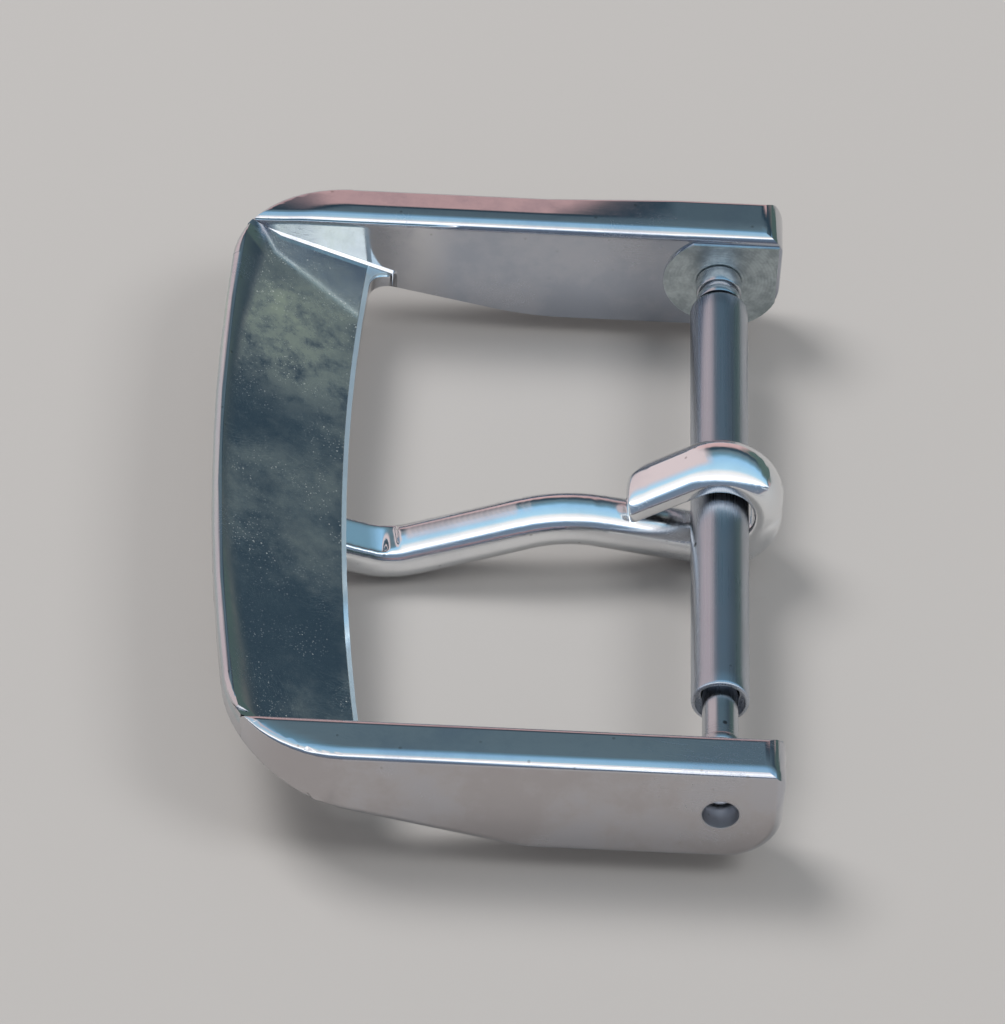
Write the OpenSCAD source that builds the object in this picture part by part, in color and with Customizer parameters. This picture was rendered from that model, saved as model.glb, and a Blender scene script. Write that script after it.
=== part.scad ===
// Pin buckle of a wrist watch strap, lying with its wrist side up.
// The origin is on the spring bar's axis, midway between the arms. +X points
// from the bar plate to the arm ends, +Y runs along the spring bar, +Z is up
// out of the wrist side. Millimetres.

/* [Frame] */
// Clear width between the arms, which is the strap width that it takes
inner_w = 18; // [14:0.5:24]
// Thickness of each arm
arm_t = 1.4; // [1.2:0.1:2]
// Height of each arm
arm_h = 3.2; // [3:0.1:3.6]
// From the arms' flat wrist side down to the spring bar's axis
bar_depth = 1.55; // [1.45:0.05:1.7]
// From the spring bar's axis to the rim of the bar plate, at mid width
bar_reach = 13.1; // [12:0.1:18]
// From the spring bar's axis to the rounded end of the arms
end_reach = 1.6; // [1.6:0.1:2.4]
// Width of the bar plate, from its rim to its inner edge
plate_w = 3.5; // [2.8:0.1:4]
// Thickness of the bar plate
plate_t = 0.6; // [0.5:0.05:0.8]
// Slope of the bar plate, which falls from its rim to its inner edge
plate_tilt = 22; // [18:1:26]
// Radius of the bar plate's bow, seen from above
bow_r = 75; // [50:5:150]
// Radius of the frame's two outer corners, seen from above
corner_r = 3.1; // [2:0.1:3.5]
// Depth of the plate's face below the arms, where the rim's flank ends
rim_drop = 0.35; // [0.2:0.05:0.5]
// Width of the rim with its flank
rim_w = 0.75; // [0.6:0.05:1]
// Slope of the arms' undersides next to the bar plate
back_tilt = 13; // [10:1:16]
// Diameter of the two holes for the spring bar's tips
hole_d = 0.95; // [0.94:0.01:1.1]

/* [Tongue] */
// Diameter of the tongue's wire
wire_d = 1.35; // [1.1:0.05:1.5]
// Inner radius of the tongue's eye
eye_r = 0.9; // [0.85:0.01:1]
// Width of the wire where it is flattened into the eye
strip_w = 1.65; // [1.4:0.05:2]
// Thickness of the flattened wire at the crown of its outer face
strip_t = 0.75; // [0.65:0.05:0.85]
// Thickness of the flattened wire at its edges
strip_edge = 0.28; // [0.2:0.02:0.4]
// Where the middle of the eye sits along the spring bar
tongue_y = 1; // [-5:0.25:5]
// Lean of the wire from square, seen from above
tongue_lean = 7; // [0:1:8]
// From the spring bar's axis to the tongue's tip
tongue_reach = 12.6; // [11.5:0.1:17]
// Depth of the flat on the wire that meets the bar plate
seat_cut = 0.16; // [0.1:0.02:0.3]

/* [Spring bar] */
// Outer diameter of the spring bar's tube
tube_d = 1.5; // [1.4:0.05:1.6]
// Bore of the tube
tube_bore = 1.25; // [1.2:0.01:1.3]
// How far the loose tube lies from the middle, towards the far arm
tube_shift = 0.67; // [0:0.01:0.67]
// Diameter of the plungers' two flanges
flange_d = 1.18; // [1.1:0.02:1.3]
// Diameter of the plungers' shafts
shaft_d = 0.93; // [0.85:0.01:0.95]
// Diameter of the plungers' tips
tip_d = 0.8; // [0.7:0.01:0.85]
// Length of the plungers' tips
tip_l = 0.8; // [0.6:0.05:1]
// Wire diameter of the spring inside the tube
coil_wire_d = 0.16; // [0.12:0.01:0.18]
// Turns of the spring inside the tube
coil_turns = 15; // [12:1:16]

/* [Hidden] */
$fn = 64;
// Facets of the very large circles that give the plate its bow
bow_fn = 720;
// How far a cutter reaches past what it cuts
past = 0.25;
// A curved run reaches into its straight neighbours by this angle, and stays a
// hair inside them there
lap_turn = 1;
hair = 0.005;

// Frame, seen from above
outer_w = inner_w + 2 * arm_t;
bow_x = bow_r - bar_reach;
corner_y = outer_w / 2 - corner_r;
bow_turn = asin(corner_y / (bow_r - corner_r));
corner_x = bow_x - (bow_r - corner_r) * cos(bow_turn);
fillet_r = 0.7;
window_r = bow_r - plate_w;
window_turn = asin((inner_w / 2 - fillet_r) / (window_r - fillet_r));
fillet_x = bow_x - (window_r - fillet_r) * cos(window_turn);
end_corner_r = 0.3;
end_inner_r = 0.1;

// Frame, seen from the side
top = bar_depth;
base = arm_h - bar_depth;
end_low_r = 1.5;
end_low_x = end_reach - end_low_r;
end_top_r = 0.6;
plate_drop = plate_t / cos(plate_tilt);
// Height of the underside at the plate's inner edge, and at the rim
inner_x = plate_w - bar_reach;
inner_z = top - rim_drop - (plate_w - rim_w) * tan(plate_tilt) - plate_drop;
rim_z = inner_z + plate_w * tan(plate_tilt);
knee_x = inner_x + (inner_z + base) / tan(back_tilt);
back_r = 8;
back_x = knee_x + back_r * tan(back_tilt / 2);
rim_under_r = 0.5;
crest_w = 0.25;
flank_angle = 40;

// Roundings along the arms
edge_out_r = 0.2;
edge_in_r = 0.3;
under_r = 0.3;

// Raised ring of bare metal round each spring bar hole
pad_r = 1.45;
pad_t = 0.08;
pad_y = inner_w / 2 - pad_t;

// Plungers, measured from the pad that the outer flange rests on
seat_play = 0.02;
outer_flange_t = 0.5;
groove_t = 0.17;
groove_d = 0.95;
inner_flange_t = 0.23;
flange_y = pad_y - seat_play - outer_flange_t - groove_t - inner_flange_t;
// How far a pressed tip draws back behind the pad
tip_clear = 0.03;
travel = tip_l + tip_clear;
collar_l = 1;
collar_play = 0.025;
collar_d = tube_bore - 2 * collar_play;

// Tube, as long as the pressed plungers leave room for
end_play = 0.045;
tube_l = 2 * (flange_y - travel - end_play);
tube_near_y = tube_shift - tube_l / 2;
mouth_flare = 0.04;
mouth_d = tube_bore + mouth_flare;
mouth_l = 0.3;
neck_play = 0.035;
neck_d = shaft_d + 2 * neck_play;
neck_l = 0.4;
tube_edge_r = 0.12;
neck_gap = 0.1;
collar_y = -(tube_near_y + mouth_l + neck_l + neck_gap);
shaft_l = flange_y - collar_y;

// Spring, between the two collars
coil_room = 2 * (collar_y - collar_l);
coil_gap = 0.03;
coil_play = 0.075;
coil_r = tube_bore / 2 - coil_play - coil_wire_d / 2;
coil_rings = 8;
coil_sides = 6;

// Tongue, in the upright plane of its wire: s runs from the eye to the tip
wire_r = wire_d / 2;
bend_wire_r = wire_r - hair;
joint_lap = 0.05;
rise = 16;
fall = 15;
close_angle = 33;
strip_start = 26;
root_turn = 110;
root_r = 1.1;
root_proud = 0.03;
root_side = 0.01;
root_bite = 0.03;
close_bury = 0.1;
close_edge_r = 0.4;
close_round = 1.45;
close_shift = 0.5;
seat_gap = 0.07;
seat_turn = 26;
bend_down_r = 3.7;
bend_up_r = 2.1;
first_run = 2.75;
taper_l = 1.6;
point_r = 0.42;
root_drop = eye_r + wire_r - root_bite;
wire_start = root_drop * [sin(rise), -cos(rise)];
root_shift = root_drop + root_proud - root_r;
root_lap = 0.2;
close_l = (eye_r - root_bite + eye_r * cos(rise + close_angle)) / sin(rise + close_angle)
    + close_bury;
run_tilt = atan(tan(plate_tilt) * cos(tongue_lean));
// Where the last run would start if the falling run had no length
short_end = wire_start + first_run * [cos(rise), sin(rise)]
    + bend_down_r * [sin(rise) + sin(fall), cos(fall) - cos(rise)]
    + bend_up_r * [sin(fall) + sin(run_tilt), cos(fall) - cos(run_tilt)];
// A point on the plate's underside, and the way down from it, square to the plate
under_point = [-inner_x / cos(tongue_lean), inner_z];
under_way = [sin(run_tilt), -cos(run_tilt)];
wire_drop = wire_r - seat_cut + seat_gap;
fall_run = (wire_drop - (short_end - under_point) * under_way) / sin(fall + run_tilt);
last_start = short_end + fall_run * [cos(fall), -sin(fall)];
last_run = (tongue_reach / cos(tongue_lean) - last_start[0]) / cos(run_tilt)
    - taper_l - point_r;

// What a rounding of radius r takes off a corner whose faces look along the
// angles a1 and a2, drawn about the rounding's centre
module round_off(r, a1, a2) {
    reach = r + past;
    half = (a2 - a1) / 2;
    difference() {
        polygon([[0, 0], reach * [cos(a1), sin(a1)],
                 reach / cos(half) * [cos(a1 + half), sin(a1 + half)],
                 reach * [cos(a2), sin(a2)]]);
        circle(r);
    }
}

// A straight run from the origin along +X. In its section X is along +Y and Y
// is up.
module run(length) {
    rotate([90, 0, 90]) linear_extrude(length) children();
}

// Stands an outline drawn in X and Z upright and gives it a width along Y
module upright(width) {
    rotate([90, 0, 0]) linear_extrude(width, center = true) children();
}

// The same on both arms
module each_arm() {
    children();
    mirror([0, 1, 0]) children();
}

// Outline of the frame seen from above, without its window
module plan_outline() {
    difference() {
        intersection() {
            translate([bow_x, 0]) circle(bow_r, $fn = bow_fn);
            translate([-bar_reach - past, -outer_w / 2])
                square([bar_reach + past + end_reach, outer_w]);
        }
        for (side = [0, 1]) mirror([0, side]) {
            translate([corner_x, corner_y]) round_off(corner_r, 90, 180 - bow_turn);
            translate([end_reach - end_corner_r, outer_w / 2 - end_corner_r])
                round_off(end_corner_r, 0, 90);
        }
    }
}

// Outline of the frame seen from the side: a straight top, a rounded arm end,
// and an underside that rises gently to the bar plate and then at its slope
module side_outline() {
    left = -bar_reach - past;
    difference() {
        translate([left, -base]) square([end_reach - left, arm_h]);
        polygon([[knee_x, -base], [inner_x, inner_z],
                 [left, rim_z + past * tan(plate_tilt)], [left - past, -base - past],
                 [knee_x, -base - past]]);
        translate([back_x, back_r - base]) round_off(back_r, 270 - back_tilt, 270);
        translate([rim_under_r - bar_reach,
                   rim_z + rim_under_r * (1 / cos(plate_tilt) - tan(plate_tilt))])
            round_off(rim_under_r, 180, 270 - plate_tilt);
        translate([end_low_x, end_low_r - base]) round_off(end_low_r, 270, 360);
        translate([end_reach - end_top_r, top - end_top_r])
            round_off(end_top_r, 0, 90);
    }
}

// The window that the strap passes through, open past the arm ends
module window_outline() {
    difference() {
        intersection() {
            translate([bow_x, 0]) circle(window_r, $fn = bow_fn);
            translate([-bar_reach, -inner_w / 2])
                square([bar_reach + end_reach + past, inner_w]);
        }
        for (side = [0, 1]) mirror([0, side])
            translate([bow_x, 0]) rotate(180 - window_turn)
                translate([window_r - fillet_r, 0])
                    rotate(window_turn - 180) round_off(fillet_r, 90, 180 - window_turn);
    }
}

// The hollow over the bar plate: above its sloping face, between the arms, and
// inside the flank of the rim
module dish() {
    over = arm_h;
    width = fillet_x + past + bar_reach;
    flank = over / tan(flank_angle);
    crest_r = bow_r - crest_w;
    intersection() {
        translate([-bar_reach, 0, top - rim_drop]) upright(inner_w) polygon([
            [0, rim_w * tan(plate_tilt)], [0, over], [width, over],
            [width, (rim_w - width) * tan(plate_tilt)]]);
        translate([bow_x, 0, top]) cylinder(h = 2 * over, r1 = crest_r - flank,
                                            r2 = crest_r + flank, center = true,
                                            $fn = bow_fn);
    }
}

// Draws a section along the outer top edge, from arm end to arm end. In the
// section X is 0 on the outer wall and Y is the height.
module along_top_edge() {
    each_arm() {
        translate([corner_x, outer_w / 2, 0]) run(end_reach - corner_x + past) children();
        translate([corner_x, corner_y, 0]) rotate(90 - lap_turn)
            rotate_extrude(angle = 90 - bow_turn + 2 * lap_turn)
                translate([corner_r + hair, hair]) children();
    }
    translate([bow_x, 0, 0]) rotate(180 - bow_turn)
        rotate_extrude(angle = 2 * bow_turn, $fn = bow_fn)
            translate([bow_r, 0]) children();
}

// What the roundings take off the edges of one arm
module arm_edges() {
    end_x = end_reach + past;
    // Inner top edge
    translate([rim_w - bar_reach, inner_w / 2 + edge_in_r, top - edge_in_r])
        run(bar_reach - rim_w + end_x) round_off(edge_in_r, 90, 180);
    // Outer lower edge, along the straight part, the gentle slope and the steep one
    translate([0, outer_w / 2 - under_r, 0]) {
        translate([knee_x, 0, under_r - base])
            run(end_low_x - knee_x) round_off(under_r, 270, 360);
        translate([inner_x, 0, inner_z]) {
            rotate([0, back_tilt, 0]) translate([0, 0, under_r])
                run((knee_x - inner_x) / cos(back_tilt)) round_off(under_r, 270, 360);
            rotate([0, plate_tilt, 0]) translate([-plate_w - past, 0, under_r])
                run(plate_w + past) round_off(under_r, 270, 360);
        }
    }
    // Outer edge round the arm's lower end
    translate([end_low_x, 0, end_low_r - base]) rotate([90, 0, 0]) rotate(-90)
        rotate_extrude(angle = 90)
            translate([end_low_r - under_r, under_r - outer_w / 2])
                round_off(under_r, 270, 360);
    // Inner upright edge at the end
    translate([end_reach - end_inner_r, inner_w / 2 + end_inner_r, -arm_h])
        linear_extrude(2 * arm_h) round_off(end_inner_r, -90, 0);
}

// Flat disc of bare metal round a spring bar hole, which runs out at the arm's end
module pad() {
    translate([0, inner_w / 2 + arm_t / 2, 0]) rotate([90, 0, 0])
        linear_extrude(arm_t / 2 + pad_t) {
            circle(pad_r);
            translate([0, -pad_r]) square([end_reach + past, 2 * pad_r]);
        }
}

// One casting: the bar plate and the two arms
module buckle_frame() color("lightsteelblue") difference() {
    intersection() {
        union() {
            translate([0, 0, -arm_h]) linear_extrude(2 * arm_h) difference() {
                plan_outline();
                window_outline();
            }
            each_arm() pad();
        }
        upright(outer_w + past) side_outline();
    }
    dish();
    along_top_edge() translate([-edge_out_r, top - edge_out_r])
        round_off(edge_out_r, 0, 90);
    each_arm() arm_edges();
    rotate([90, 0, 0]) cylinder(h = outer_w + past, d = hole_d, center = true);
}

// Section of the flattened wire: flat inside, crowned outside. X is 0 on the
// inner face and Y runs across the strip.
module strip_section() {
    crown = strip_t - strip_edge;
    crown_r = (pow(strip_w / 2, 2) + pow(crown, 2)) / (2 * crown);
    intersection() {
        translate([0, -strip_w / 2]) square([strip_t, strip_w]);
        translate([strip_t - crown_r, 0]) circle(crown_r);
    }
}

// A bend that starts at the origin along +X and turns up, of the section given.
// It runs on into its neighbours at both ends by the angle lap.
module bend(r, turn, lap = 0) {
    rotate([90, 0, 0]) translate([0, r, 0]) rotate(-90 - lap)
        rotate_extrude(angle = turn + 2 * lap) translate([r, 0]) children();
}

// Section of what is pressed out of the wire's upper side where it meets the bar
// plate. Y is up.
module seat_section() {
    translate([-wire_r - past, wire_r - seat_cut]) square([wire_d + 2 * past, wire_r]);
}

// Half outline of the wire's tapered tip, turned about Y
module tip_outline() {
    intersection() {
        union() {
            translate([0, -joint_lap]) square([bend_wire_r, joint_lap]);
            polygon([[0, 0], [bend_wire_r, 0], [point_r, taper_l], [0, taper_l]]);
            translate([0, taper_l]) circle(point_r);
        }
        translate([0, -joint_lap]) square([wire_d, taper_l + wire_d]);
    }
}

// Moves to the far end of a bend that starts at the origin and goes back along
// -X, turning up about a centre at height r, or down if r is negative
module back_round(r, turn) {
    translate([0, 0, r]) rotate([0, sign(r) * turn, 0]) translate([0, 0, -r]) children();
}

// The wire from the eye to the tip, drawn with s along +X: up out of the eye,
// over a hump, down, and up again along the plate's underside. It is built from
// where the last run starts.
module wire() {
    translate([last_start[0], 0, last_start[1]]) rotate([0, -run_tilt, 0]) difference() {
        union() {
            mirror([1, 0, 0]) bend(bend_up_r, fall + run_tilt, lap_turn)
                circle(bend_wire_r);
            back_round(bend_up_r, fall + run_tilt) {
                mirror([1, 0, 0]) run(fall_run) circle(wire_r);
                translate([-fall_run, 0, 0]) {
                    mirror([1, 0, 0]) mirror([0, 0, 1])
                        bend(bend_down_r, rise + fall, lap_turn) circle(bend_wire_r);
                    back_round(-bend_down_r, rise + fall)
                        mirror([1, 0, 0]) run(first_run + root_lap) circle(wire_r);
                }
            }
            run(last_run) circle(wire_r);
            translate([last_run, 0, 0]) rotate([0, 90, 0]) rotate_extrude() tip_outline();
        }
        mirror([1, 0, 0]) bend(bend_up_r, seat_turn) rotate(90) seat_section();
        run(last_run + taper_l + wire_r) seat_section();
    }
}

// Section where the round wire widens into the eye. X points outwards, and what
// lies inside the eye is bored out.
module root_section() {
    side = strip_w / 2 + root_side - wire_r;
    for (end = [-side, side]) translate([0, end]) circle(wire_r);
    translate([-root_r / 2, -side - wire_r]) square([root_r / 2, 2 * (side + wire_r)]);
    translate([0, -side]) square([wire_r, 2 * side]);
}

// The straight leg of the eye, with its end rounded seen from outside and from
// the side. X points outwards and the leg runs along +Z.
module leg() {
    intersection() {
        linear_extrude(close_l) strip_section();
        rotate([0, 90, 0]) linear_extrude(strip_t) intersection() {
            translate([-close_l, -strip_w / 2]) square([close_l, strip_w]);
            translate([close_round - close_l, -close_shift]) circle(close_round);
        }
        rotate([90, 0, 0]) linear_extrude(strip_w, center = true) difference() {
            square([strip_t, close_l]);
            translate([strip_t - close_edge_r, close_l - close_edge_r])
                round_off(close_edge_r, 0, 90);
        }
    }
}

// The eye round the spring bar: the wire widens under the bar, is flattened over
// it and closes on the wire's upper side
module eye() {
    rotate([90, 0, 0]) {
        rotate(-90 - rise) {
            translate([root_shift, 0, 0]) rotate_extrude(angle = root_turn)
                translate([root_r, 0]) root_section();
            rotate(strip_start)
                rotate_extrude(angle = 180 + rise + close_angle - strip_start)
                    translate([eye_r, 0]) strip_section();
        }
        rotate(90 + close_angle) translate([eye_r, 0, 0]) rotate([-90, 0, 0]) leg();
    }
}

module tongue() color("silver") translate([0, tongue_y, 0]) difference() {
    union() {
        eye();
        mirror([1, 0, 0]) rotate(-tongue_lean) wire();
    }
    rotate([90, 0, 0]) cylinder(h = 2 * strip_w, r = eye_r, center = true);
}

// Turned parts of a plunger, on +Z with the outer flange's face at 0 and the
// tip above it
module plunger() {
    body_l = outer_flange_t + groove_t + inner_flange_t;
    cylinder(h = tip_l, d = tip_d);
    translate([0, 0, -outer_flange_t]) cylinder(h = outer_flange_t, d = flange_d);
    translate([0, 0, -outer_flange_t - groove_t]) cylinder(h = groove_t, d = groove_d);
    translate([0, 0, -body_l]) cylinder(h = inner_flange_t, d = flange_d);
    translate([0, 0, -body_l - shaft_l]) cylinder(h = shaft_l, d = shaft_d);
    translate([0, 0, -body_l - shaft_l - collar_l]) cylinder(h = collar_l, d = collar_d);
}

module far_plunger() color("gainsboro")
    translate([0, pad_y - seat_play, 0]) rotate([-90, 0, 0]) plunger();

module near_plunger() color("gainsboro")
    translate([0, seat_play - pad_y, 0]) rotate([90, 0, 0]) plunger();

// Half section of the tube: a thin wall with a neck near each end that keeps
// the plunger's collar in
module tube_section() {
    difference() {
        square([tube_d / 2, tube_l]);
        translate([tube_d / 2 - tube_edge_r, tube_edge_r])
            round_off(tube_edge_r, 270, 360);
        translate([tube_d / 2 - tube_edge_r, tube_l - tube_edge_r])
            round_off(tube_edge_r, 0, 90);
        square([neck_d / 2, tube_l]);
        square([mouth_d / 2, mouth_l]);
        translate([0, tube_l - mouth_l]) square([mouth_d / 2, mouth_l]);
        translate([0, mouth_l + neck_l])
            square([tube_bore / 2, tube_l - 2 * (mouth_l + neck_l)]);
    }
}

module spring_bar_tube() color("lightslategray")
    translate([0, tube_near_y, 0]) rotate([-90, 0, 0])
        rotate_extrude() tube_section();

// A point of the coil's wire: on its ring i, at side k, square to the helix
function coil_point(i, k, length) = let (
    turn = 360 * i / coil_rings,
    side = 360 * k / coil_sides,
    pitch_angle = atan(length / coil_turns / (2 * PI * coil_r)),
    out = coil_r + coil_wire_d / 2 * cos(side),
    lift = coil_wire_d / 2 * sin(side),
    along = -lift * sin(pitch_angle))
    [out * cos(turn) - along * sin(turn), out * sin(turn) + along * cos(turn),
     length * (i / (coil_turns * coil_rings) - 0.5) + lift * cos(pitch_angle)];

// Coil spring between the collars, one unbroken wire
module bar_spring() color("dimgray") {
    length = coil_room - 2 * coil_gap - coil_wire_d;
    steps = coil_turns * coil_rings;
    points = [for (i = [0:steps]) for (k = [0:coil_sides - 1]) coil_point(i, k, length)];
    first = [for (k = [0:coil_sides - 1]) k];
    last = [for (k = [coil_sides - 1:-1:0]) steps * coil_sides + k];
    sides = [for (i = [0:steps - 1]) for (k = [0:coil_sides - 1])
        let (a = i * coil_sides + k, b = i * coil_sides + (k + 1) % coil_sides)
        each [[a, a + coil_sides, b + coil_sides], [a, b + coil_sides, b]]];
    rotate([90, 0, 0]) polyhedron(points, concat([first], sides, [last]), convexity = 10);
}

buckle_frame();
tongue();
spring_bar_tube();
far_plunger();
near_plunger();
bar_spring();
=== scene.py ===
"""Dresses the pin buckle of a wrist watch strap and sets it in a pale studio.

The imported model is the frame: metres, with the origin on the spring bar's axis,
+X from the bar plate to the arm ends, +Y along the spring bar and +Z out of the
wrist side.
"""

import logging
import math
from collections.abc import Callable
from dataclasses import dataclass, field
from enum import Enum
from typing import Any

import bmesh
import bpy
from mathutils import Matrix, Vector


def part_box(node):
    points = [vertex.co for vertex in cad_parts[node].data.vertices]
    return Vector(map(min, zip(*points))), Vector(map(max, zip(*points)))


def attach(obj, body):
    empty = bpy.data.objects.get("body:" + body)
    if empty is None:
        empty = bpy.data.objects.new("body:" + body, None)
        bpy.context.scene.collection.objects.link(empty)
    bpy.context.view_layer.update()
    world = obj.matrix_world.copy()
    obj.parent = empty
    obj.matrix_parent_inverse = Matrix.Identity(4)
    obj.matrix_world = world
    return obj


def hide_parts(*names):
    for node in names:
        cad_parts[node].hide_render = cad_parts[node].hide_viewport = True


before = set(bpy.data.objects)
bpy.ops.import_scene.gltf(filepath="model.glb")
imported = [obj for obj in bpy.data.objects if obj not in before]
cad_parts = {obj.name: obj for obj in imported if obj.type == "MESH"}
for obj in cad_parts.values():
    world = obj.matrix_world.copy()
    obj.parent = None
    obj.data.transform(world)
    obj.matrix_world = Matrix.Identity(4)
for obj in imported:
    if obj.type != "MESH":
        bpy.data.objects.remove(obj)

MM = 0.001
ALONG_X = Vector((1.0, 0.0, 0.0))
ALONG_Y = Vector((0.0, 1.0, 0.0))
NOISE_MIDDLE = 0.5
MIX_COLOURS, MIX_RESULT = (6, 7), 2
LOG = logging.getLogger("buckle")

Band = tuple[float, float]
Point = tuple[float, float]
Triple = tuple[float, float, float]


class Side(Enum):
    """The two arms, as signs along Y."""

    NEAR = -1.0
    FAR = 1.0


class Relief(Enum):
    """The lines that a tool leaves round or along the spring bar, and how far they are drawn."""

    RINGS = 300.0
    ALONG = 160.0


@dataclass(frozen=True)
class CastingSizes:
    """Sizes of the frame that its shape and its finish share, in metres."""

    half_width: float = 10.4 * MM
    corner_centre: Point = (-9.63 * MM, 7.3 * MM)
    corner_radius: float = 3.1 * MM
    bow_centre: float = 61.9 * MM
    bow_radius: float = 75.0 * MM
    window_radius: float = 71.5 * MM


CASTING = CastingSizes()


def hang(name: str, data: bpy.types.ID) -> bpy.types.Object:
    """Puts a new object into the scene, at its origin.

    Args:
        name: The object's name.
        data: Its mesh, lamp or camera.

    Returns:
        The object.
    """
    made = bpy.data.objects.new(name, data)
    bpy.context.scene.collection.objects.link(made)
    return made


# Shader maths


def maths(operation: str, swapped: bool = False) -> Callable[..., "Field"]:
    """Makes a method of Field from a Math node.

    Args:
        operation: The node's operation.
        swapped: Puts the Field on the right, for a number on the left.

    Returns:
        The method. It takes a second value where the operation has one.
    """
    def method(self: "Field", other: "Field | float" = 0.0) -> "Field":
        """Returns the node's result."""
        first, second = (other, self) if swapped else (self, other)
        return self.bench.add("ShaderNodeMath", {"operation": operation}, {0: first, 1: second})

    return method


@dataclass(frozen=True)
class Field:
    """A number, a vector or a colour that changes over a surface."""

    bench: "Bench"
    socket: bpy.types.NodeSocket

    __add__, __radd__ = maths("ADD"), maths("ADD", swapped=True)
    __sub__, __rsub__ = maths("SUBTRACT"), maths("SUBTRACT", swapped=True)
    __mul__, __truediv__ = maths("MULTIPLY"), maths("DIVIDE")
    __abs__, wave, root = maths("ABSOLUTE"), maths("SINE"), maths("SQRT")
    least, most, angle = maths("MINIMUM"), maths("MAXIMUM"), maths("ARCTAN2")

    def reach(self, other: "Field") -> "Field":
        """Returns the length of a vector with these two parts."""
        return (self * self + other * other).root()

    def ease(self, band: Band) -> "Field":
        """Rises smoothly from 0 at the band's first value to 1 at its second."""
        flip = band[1] < band[0]
        return self.bench.add("ShaderNodeMapRange", {"interpolation_type": "SMOOTHSTEP"}, {
            "Value": self, "From Min": min(band), "From Max": max(band),
            "To Min": float(flip), "To Max": float(not flip)})

    def parts(self) -> list["Field"]:
        """Returns the X, Y and Z of a vector."""
        node = self.bench.add("ShaderNodeSeparateXYZ", None, {0: self}).socket.node
        return [Field(self.bench, socket) for socket in node.outputs]

    def turned(self, turn: Triple, scale: Triple) -> "Field":
        """Returns a place turned about X, Y and Z, in degrees, and then scaled."""
        spun = self.bench.add("ShaderNodeMapping", None, {
            "Vector": self, "Rotation": tuple(map(math.radians, turn))})
        return self.bench.add(
            "ShaderNodeVectorMath", {"operation": "MULTIPLY"}, {0: spun, 1: scale})

    def mix(self, first: "Field | Triple", second: "Field | Triple") -> "Field":
        """Returns the first colour where this share is 0, and the second where it is 1."""
        shown = [c if isinstance(c, Field) else (*c, 1.0) for c in (first, second)]
        return self.bench.add("ShaderNodeMix", {"data_type": "RGBA"},
                              {0: self, **dict(zip(MIX_COLOURS, shown))}, out=MIX_RESULT)


class Bench:
    """A node tree under work."""

    def __init__(self, tree: bpy.types.NodeTree) -> None:
        """Empties the tree of a material or of the world."""
        self.tree = tree
        tree.nodes.clear()

    def add(
        self,
        kind: str,
        settings: dict[str, Any] | None = None,
        sockets: dict[Any, Any] | None = None,
        out: int | str = 0,
    ) -> Field:
        """Adds a node: its settings first, then the values or links of its sockets.

        Args:
            kind: The node's type.
            settings: Values of the node itself. "stops" holds a ramp's stops.
            sockets: A value or a Field for each input named or numbered.
            out: The output that is wanted.

        Returns:
            The output wanted.
        """
        node = self.tree.nodes.new(kind)
        for name, value in (settings or {}).items():
            if name == "stops":
                self.set_stops(node.color_ramp.elements, value)
            else:
                setattr(node, name, value)
        for name, value in (sockets or {}).items():
            if isinstance(value, Field):
                self.tree.links.new(value.socket, node.inputs[name])
            else:
                node.inputs[name].default_value = value
        return Field(self, node.outputs[out] if node.outputs else None)

    @staticmethod
    def set_stops(ramp: bpy.types.ColorRampElements,
                  stops: tuple[tuple[float, Triple], ...]) -> None:
        """Gives a ramp its stops.

        Args:
            ramp: The ramp's elements.
            stops: The place and the colour of each stop.
        """
        while len(ramp) < len(stops):
            ramp.new(0.5)
        for stop, (place, colour) in zip(ramp, stops):
            stop.position, stop.color = place, (*colour, 1.0)

    def place(self) -> Field:
        """Returns the place on the piece, in metres."""
        return self.add("ShaderNodeTexCoord", out="Object")


def new_material(name: str) -> tuple[bpy.types.Material, Bench]:
    """Makes an empty material.

    Args:
        name: The material's name.

    Returns:
        The material, and its node tree to work on.
    """
    made = bpy.data.materials.new(name)
    made.use_nodes = True
    return made, Bench(made.node_tree)


# Patterns


@dataclass(frozen=True)
class Noise:
    """Soft noise: features per metre, finer layers, their weight, and what part shows."""

    scale: float
    detail: float = 2.0
    rough: float = 0.5
    band: Band | None = None

    def over(self, place: Field) -> Field:
        """Returns the noise between 0 and 1, eased over the band if there is one."""
        noise = place.bench.add("ShaderNodeTexNoise", None, {
            "Vector": place, "Scale": self.scale, "Detail": self.detail,
            "Roughness": self.rough})
        return noise if self.band is None else noise.ease(self.band)


@dataclass(frozen=True)
class Grains:
    """Scattered dots: points per metre, and each dot's soft edge as shares of their spacing."""

    scale: float
    band: Band

    def over(self, place: Field) -> Field:
        """Returns 1 in the dots and 0 between them."""
        return place.bench.add("ShaderNodeTexVoronoi", None, {
            "Vector": place, "Scale": self.scale}).ease(self.band)


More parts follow.
